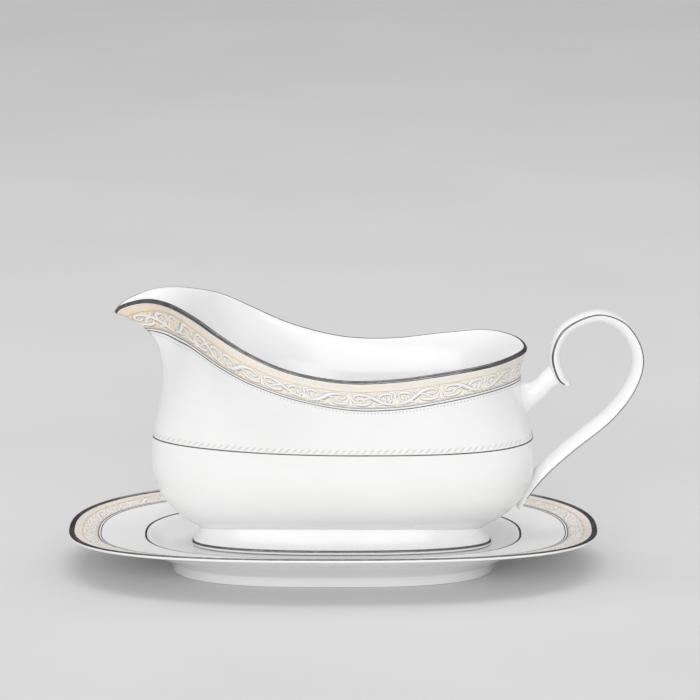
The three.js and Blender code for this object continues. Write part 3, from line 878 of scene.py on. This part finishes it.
def stand():
    """Build the stand. Returns the rows of its flange and of its well."""
    rim, verge = oval(STAND_RIM, STAND_X, RIM_Z), oval(STAND_VERGE, STAND_X, VERGE_Z)
    share = np.linspace(0, 1, FLANGE_ROWS)[:, None, None]
    flange = rim * (1 - share) + verge * share
    flange[:, :, 2] -= FLANGE_SAG * np.sin(math.pi * share[:, :, 0])
    inward = unit(verge - rim)
    floor_edge, *floor = (oval(STAND_FLOOR, STAND_X, WELL_Z, outset) for outset in (0, *FLOOR_INSETS))
    spread_floor = oval(STAND_FLOOR, STAND_X, WELL_Z, WELL_SPREAD)
    well = bezier(verge, verge + inward * WELL_EASE, spread_floor, floor_edge, WELL_ROWS)

    edge = [stand_edge(degrees) for degrees in STAND_EDGE_ANGLES]
    under_verge = oval(STAND_VERGE, STAND_X, VERGE_Z - UNDER_VERGE["drop"], UNDER_VERGE["outset"])
    under_flange = edge[-1] * (1 - share[::4]) + under_verge * share[::4]
    ring_top = oval(STAND_RING, STAND_X, RING_TOP["height"], RING_TOP["outset"])
    bend = under_verge * (1 - WALL_BEND) + ring_top * WALL_BEND
    slope = (under_verge + ring_top) / 2
    wall = bezier(under_verge + inward * UNDER_VERGE["inset"], bend, slope, ring_top,
                  SKIRT_ROWS)
    foot = [oval(STAND_RING, STAND_X, height, outset) for height, outset in STAND_TREAD]
    rings = np.concatenate([floor[::-1], well[::-1], flange[::-1][1:-1], edge, under_flange[1:-1], wall,
                            foot])
    finish(skin("stand_dish_china", rings, CHINA), "stand", "china", "stand_dish")
    return flange, well


def stand_rim_line(flange):
    """The platinum on the stand's edge."""
    top_rows = rows_by_depth(flange, np.outer(STAND_METAL, np.ones(COLUMNS)))
    rows = np.concatenate([top_rows, [stand_edge(degrees) for degrees in STAND_METAL_ANGLES]])
    line = film("stand_rim_platinum_film", rows, normals(rows), PLATINUM)
    finish(line, "stand", "platinum", "stand_rim_platinum")


def stand_well_line(flange, well):
    """The platinum line where the well begins."""
    start = flange[-2:-1] * (1 - WELL_LINE_START) + flange[-1:] * WELL_LINE_START
    rows = np.concatenate([start, well[:2]])
    row_normals = normals(rows)
    row_normals *= np.sign(row_normals[:, :, 2:3])
    line = film("stand_well_platinum_film", rows, row_normals, PLATINUM)
    finish(line, "stand", "platinum", "stand_well_line")


# ------------------------------------------------------------------ studio
def studio_floor():
    """A plain pale floor."""
    material, nodes, links, shader, place = node_material("studio_floor")
    cloud = noise(nodes, links, place, 6)
    links.new(ramp(nodes, links, cloud, (0.68,) * 3, (0.7,) * 3), shader.inputs["Base Color"])
    links.new(spread(nodes, links, cloud, 0.8, 0.9), shader.inputs["Roughness"])
    shader.inputs["Specular IOR Level"].default_value = 0.2
    reach = 6000
    corners = [(-reach, -reach, 0), (reach, -reach, 0), (reach, reach, 0), (-reach, reach, 0)]
    floor = make_mesh("floor", corners, [(0, 1, 2, 3)], material, solid=False)


def area_light(name, place, target, size, watts):
    """A rectangular softbox that faces its target."""
    light = bpy.data.lights.new(name, "AREA")
    light.shape = "RECTANGLE"
    light.size, light.size_y = size
    light.energy = watts
    lamp = bpy.data.objects.new(name, light)
    lamp.location = place
    lamp.rotation_euler = (Vector(target) - Vector(place)).to_track_quat("-Z", "Y").to_euler()
    bpy.context.scene.collection.objects.link(lamp)


def studio_lights():
    """An even backdrop with a softbox above and a large one in front."""
    world = bpy.data.worlds.new("studio")
    world.use_nodes = True
    backdrop = world.node_tree.nodes["Background"]
    backdrop.inputs["Color"].default_value = (1, 1, 1, 1)
    backdrop.inputs["Strength"].default_value = 0.6
    bpy.context.scene.world = world
    area_light("top_softbox", (0, 0.25, 1.6), (0, 0.1, 0), (1.6, 1.0), 9.5)
    area_light("front_softbox", (-0.3, -3.0, 0.9), (0, 0, 0.06), (3.6, 1.7), 54)
    view = bpy.context.scene.view_settings
    view.view_transform = "Standard"
    view.look = "None"


def camera():
    """A long lens a little above the rim, square to the boat's side."""
    distance, elevation = 2.5, math.radians(13)
    look_height, aim_height, centre_x = 0.059, 0.098, -0.00225
    back, rise_above = distance * math.cos(elevation), distance * math.sin(elevation)
    place = Vector((centre_x, -back, look_height + rise_above))
    lens = bpy.data.cameras.new("camera")
    lens.sensor_width = 36
    width_at_object = 0.3133
    lens.lens = lens.sensor_width * distance / width_at_object
    lens.clip_end = 30
    view = bpy.data.objects.new("camera", lens)
    view.location = place
    view.rotation_euler = (Vector((centre_x, 0, aim_height)) - place).to_track_quat("-Z", "Y").to_euler()
    bpy.context.scene.collection.objects.link(view)
    bpy.context.scene.camera = view


# ------------------------------------------------------------------ assembly
camera()
studio_lights()
studio_floor()

rim_rows = bowl()
boat_foot()
rim_line(*rim_rows)
boat_strip = Strip(UPPER, BOAT_STRIP, STRETCH, 1)
frieze("boat", boat_strip, BOAT_FRIEZE, BOAT_GROUND)
bead_row(boat_strip.chart)
waist_line()
rope_border()
handle()

flange_rows, well_rows = stand()
stand_strip = Strip(flange_rows, STAND_STRIP, np.ones(COLUMNS), -1)
frieze("stand", stand_strip, STAND_FRIEZE, STAND_GROUND)
stand_rim_line(flange_rows)
stand_well_line(flange_rows, well_rows)
